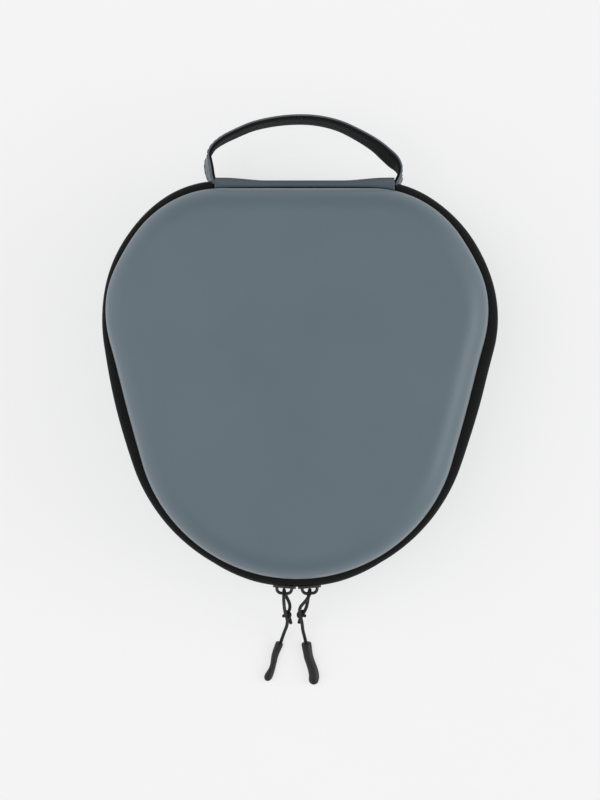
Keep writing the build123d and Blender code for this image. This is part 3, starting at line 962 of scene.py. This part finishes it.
# The right half of the pocket's outline, from its mouth to the front
inset = WALL / math.cos(DRAFT_ANGLE) + POCKET_HEIGHT * DRAFT + 0.3
wall = (rim - rim_out * inset)[: SAMPLES // 2]
mouth_half = float(np.interp(POCKET_MOUTH, wall[::-1, 1], wall[::-1, 0]))
outline = np.vstack([[(mouth_half, POCKET_MOUTH)], wall[wall[:, 1] <= POCKET_MOUTH]])


def pocket_half(y):
    """Half the pocket's width at this Y."""
    return np.interp(y, outline[::-1, 1], outline[::-1, 0])


def net_level(x, y):
    """The net's height: it hangs a little between its hem and the shell's wall."""
    across = 1 - min(1.0, (x / pocket_half(y)) ** 2)
    along = max(0.0, 1 - ((POCKET_MOUTH - y) / NET_DEPTH) ** 2)
    return POCKET_LEVEL - NET_SAG * across * along


def in_pocket(x, y):
    return outline[-1, 1] < y < POCKET_MOUTH - 0.5 and abs(x) < pocket_half(y)


# The net: hexagons that share their corners, each with a hexagonal hole
corner = HOLE_PITCH / math.sqrt(3)
points, faces, shared = [], [], {}
for row in range(-5, 40):
    for column in range(-40, 41):
        x = (column + 0.5 * (row % 2)) * HOLE_PITCH
        y = POCKET_MOUTH - 2.0 - row * corner * 1.5
        ring = [(x + corner * math.sin(math.tau * k / 6), y + corner * math.cos(math.tau * k / 6))
                for k in range(6)]
        if not all(in_pocket(*spot) for spot in ring):
            continue
        outer = []
        for spot in ring:
            key = (round(spot[0], 2), round(spot[1], 2))
            if key not in shared:
                shared[key] = len(points)
                points.append((*spot, net_level(*spot)))
            outer.append(shared[key])
        inner = []
        for spot in ring:
            hole = [c + (p - c) * HOLE_WIDTH / HOLE_PITCH for p, c in zip(spot, (x, y))]
            inner.append(len(points))
            points.append((*hole, net_level(x, y)))
        for k in range(6):
            faces.append((outer[k], outer[(k + 1) % 6], inner[(k + 1) % 6], inner[k]))
net = piece("pocket_net_cloth", points, faces, "pocket_net")
thick = net.modifiers.new("thickness", "SOLIDIFY")
thick.thickness, thick.offset = 0.6 * MM, 0
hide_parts("pocket_net")

# (distance behind the mouth, height above the pocket's level)
HEM_SECTION = [
    (-0.3, -0.35), (0.6, -0.62), (4, -0.68), (7.2, -0.62), (8.1, -0.3), (8.1, 0.3), (7.2, 0.62),
    (4, 0.68), (0.6, 0.62), (-0.3, 0.35),
]
grid = []
for x in np.linspace(-mouth_half, mouth_half, 260):
    t = x / mouth_half
    level = POCKET_LEVEL - NET_SAG * (1 - t * t) + 0.12 * math.sin(x * 1.9)
    grid.append([(x, POCKET_MOUTH + y, level + z) for y, z in HEM_SECTION])
hem = loft("pocket_hem_elastic", grid, "pocket_elastic")
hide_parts("pocket_hem")

# Elastic tape that sews the net's curved edge to the lining, as (distance inward, height)
EDGE_TAPE_SECTION = [
    (-0.1, -0.5), (1.2, -0.66), (4.6, -0.66), (5.4, -0.35), (5.4, 0.35), (4.6, 0.66),
    (1.2, 0.66), (-0.1, 0.5),
]
edge = outline[outline[:, 1] < POCKET_MOUTH - 1]
edge = np.vstack([edge, (edge * np.array([-1, 1]))[::-1]])
run = np.gradient(edge, axis=0)
run /= np.linalg.norm(run, axis=1)[:, None]
inward = np.column_stack([run[:, 1], -run[:, 0]])
grid = [[(*(spot + way * a), POCKET_LEVEL + z) for a, z in EDGE_TAPE_SECTION]
        for spot, way in zip(edge, inward)]
tape = loft("pocket_edge_tape", grid, "pocket_elastic")

sewn_rows = []
for y in (1.6, 6.4):
    row = []
    for x in np.linspace(-mouth_half + 2, mouth_half - 2, 90):
        sag = NET_SAG * (1 - (x / mouth_half) ** 2)
        row.append((x, POCKET_MOUTH + y, LID_RIM + POCKET_HEIGHT - 0.42 - sag))
    sewn_rows.append(stitches(f"hem_stitches_{round(y)}", row, [(0, 0, -1)] * len(row),
                              "pocket_elastic", length=2.4))
for obj in (net, hem, tape, *sewn_rows):
    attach(obj, "lid")


# ---------------------------------------------------------------- floor

FLOOR_REACH = 3.0  # metres
FLOOR_GLOW = 0.635
corners = [(x * FLOOR_REACH, y * FLOOR_REACH, 0) for x, y in ((-1, -1), (1, -1), (1, 1), (-1, 1))]
floor_data = bpy.data.meshes.new("floor")
floor_data.from_pydata(corners, [], [(0, 1, 2, 3)])
floor = bpy.data.objects.new("floor", floor_data)
bpy.context.scene.collection.objects.link(floor)
paper = Material("floor_paper", Specular_IOR_Level=0.1)
paper.colours(paper.noise(60), (0.0, (0.30, 0.30, 0.30)), (1.0, (0.31, 0.31, 0.31)))
paper.shader.inputs["Emission Color"].default_value = (1, 1, 1, 1)
paper.shader.inputs["Emission Strength"].default_value = FLOOR_GLOW
paper.rough(paper.noise(4), 0.85, 0.95)
floor_data.materials.append(paper.data)

look_down()
studio()
